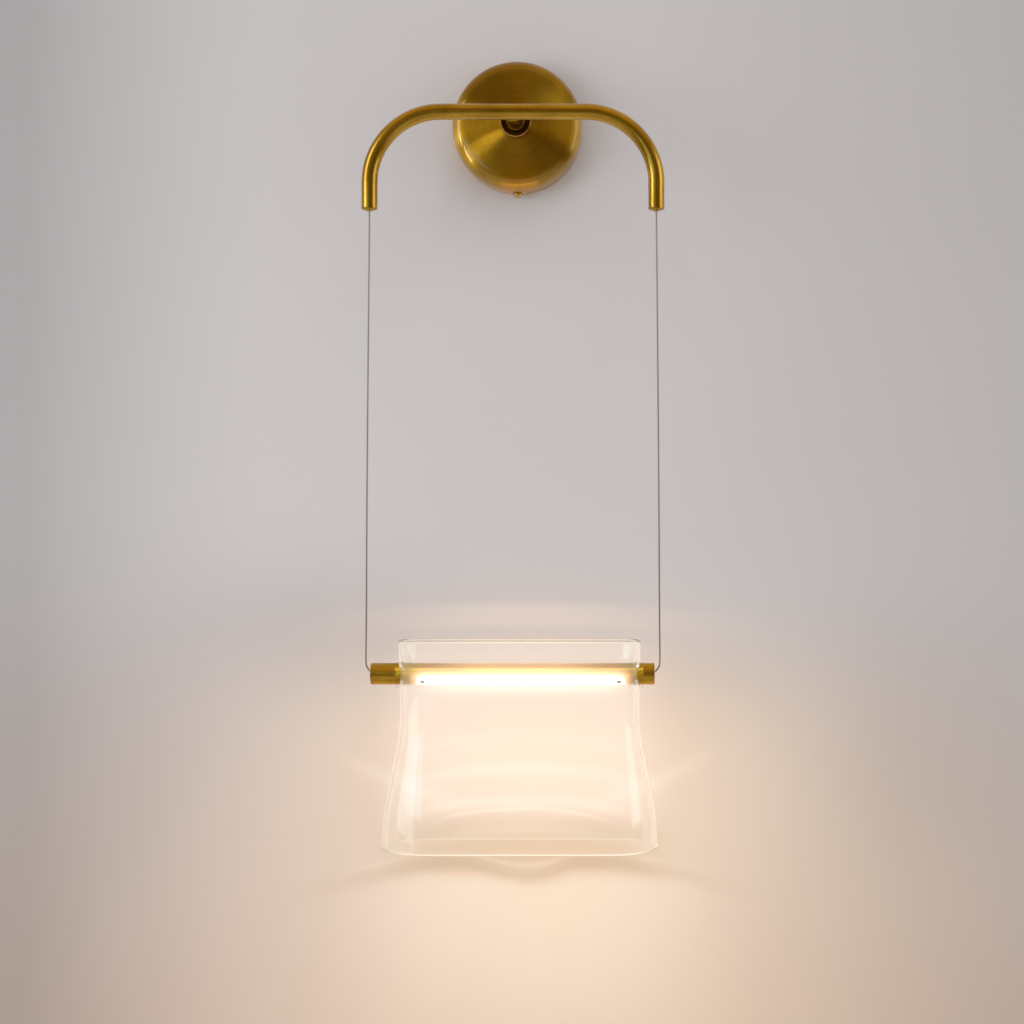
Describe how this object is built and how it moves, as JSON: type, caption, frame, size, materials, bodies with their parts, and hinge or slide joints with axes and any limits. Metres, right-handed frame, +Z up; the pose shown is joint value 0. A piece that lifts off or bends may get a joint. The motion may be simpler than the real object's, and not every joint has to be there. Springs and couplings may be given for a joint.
{
  "type": "wall lamp",
  "caption": "Wall lamp: a brass rose and arched tube from which an LED bar with a clear blown-glass shade hangs on thin wires.",
  "frame": {"origin": "on the wall, at the centre of the rose and midway between the two wall fixing holes", "axes": "+Y into the wall, +Z up, +X to the right as seen from the room"},
  "size_m": [0.2254, 0.1084, 0.5974],
  "materials": {
    "brushed_brass": "spun and brushed, antique lacquer",
    "polished_brass": "polished",
    "plated_steel": "zinc plated",
    "steel_wire": "fine stranded rope with a clear coat",
    "black_rubber": "matt",
    "black_lead": "smooth insulation",
    "red_lead": "smooth insulation",
    "white_lead": "smooth insulation",
    "earth_lead": "green insulation with a yellow stripe",
    "white_case": "moulded",
    "grey_foam": "foam tape",
    "natural_nylon": "moulded nylon",
    "carrier_aluminium": "extruded",
    "white_board": "white solder mask",
    "yellow_phosphor": "cast silicone",
    "opal_lens": "opal diffuser",
    "clear_sleeve": "clear sleeve",
    "clear_silicone": "clear silicone",
    "clear_glass": "blown, with fire-polished rims"
  },
  "bodies": {
    "wall_bracket": {"wall_plate": "plated_steel", "cable_grommet": "black_rubber", "wall_rose": "brushed_brass", "lock_screws": "polished_brass", "collar": "brushed_brass", "fixing_nipple": "plated_steel", "nipple_nut": "plated_steel", "nipple_washer": "plated_steel", "stem_ferrule": "brushed_brass", "stem_tube": "brushed_brass", "arch_tube": "brushed_brass", "end_plug_left": "brushed_brass", "end_plug_right": "brushed_brass", "wire_anchor_left": "steel_wire", "wire_anchor_right": "steel_wire", "inner_lead_left": "black_lead", "inner_lead_right": "red_lead", "led_driver": "white_case", "driver_pad": "grey_foam", "terminal_block": "natural_nylon", "terminal_screws": "plated_steel", "block_screw": "plated_steel", "driver_input_leads": "white_lead", "earth_screw": "polished_brass", "earth_lead": "earth_lead"},
    "wire_sleeves": {"wire_sleeve_left": "clear_sleeve", "wire_sleeve_right": "clear_sleeve"},
    "left_wire": {"suspension_wire_left": "steel_wire"},
    "right_wire": {"suspension_wire_right": "steel_wire"},
    "wire_ends": {"wire_end_left": "steel_wire", "wire_end_right": "steel_wire"},
    "light_bar": {"bar_tube": "brushed_brass", "end_cap_left": "brushed_brass", "end_cap_right": "brushed_brass", "cap_insulator_left": "natural_nylon", "cap_insulator_right": "natural_nylon", "contact_left": "polished_brass", "contact_right": "polished_brass", "board_lead_left": "red_lead", "board_lead_right": "black_lead", "led_carrier": "carrier_aluminium", "led_board": "white_board", "led_chips": "yellow_phosphor", "lens": "opal_lens", "lens_screws": "plated_steel"},
    "shade_bushes": {"shade_bush_left": "clear_silicone", "shade_bush_right": "clear_silicone"},
    "shade": {"glass_shade": "clear_glass"}
  },
  "joints": [
    {"name": "swing", "type": "hinge", "parent": "wall_bracket", "child": "wire_sleeves", "pos_m": [0, -0.072, -0.0759], "axis": [-1, 0, 0], "range_deg": [-2, 30]},
    {"name": "left_sway", "type": "hinge", "parent": "wire_sleeves", "child": "left_wire", "pos_m": [-0.1067, -0.072, -0.07755], "axis": [0, 1, 0], "range_deg": [-8, 8]},
    {"name": "right_sway", "type": "hinge", "parent": "wire_sleeves", "child": "right_wire", "pos_m": [0.1067, -0.072, -0.07755], "axis": [0, 1, 0], "range_deg": [-8, 8]},
    {"name": "bar_level", "type": "hinge", "parent": "left_wire", "child": "wire_ends", "pos_m": [-0.10558, -0.072, -0.41673], "axis": [0, 1, 0], "range_deg": [-8, 8]},
    {"name": "bar_roll", "type": "hinge", "parent": "wire_ends", "child": "light_bar", "pos_m": [0, -0.072, -0.418], "axis": [-1, 0, 0], "range_deg": [-45, 45]},
    {"name": "shade_slide", "type": "slide", "parent": "wire_ends", "child": "shade_bushes", "axis": [1, 0, 0], "range_m": [-0.018, 0.008]},
    {"name": "shade_tilt", "type": "hinge", "parent": "shade_bushes", "child": "shade", "pos_m": [0, -0.072, -0.418], "axis": [-1, 0, 0], "range_deg": [-7, 35]}
  ],
  "couplings": [
    {"joint": "right_sway", "follows": "left_sway", "ratio": 1},
    {"joint": "bar_level", "follows": "left_sway", "ratio": -1}
  ]
}
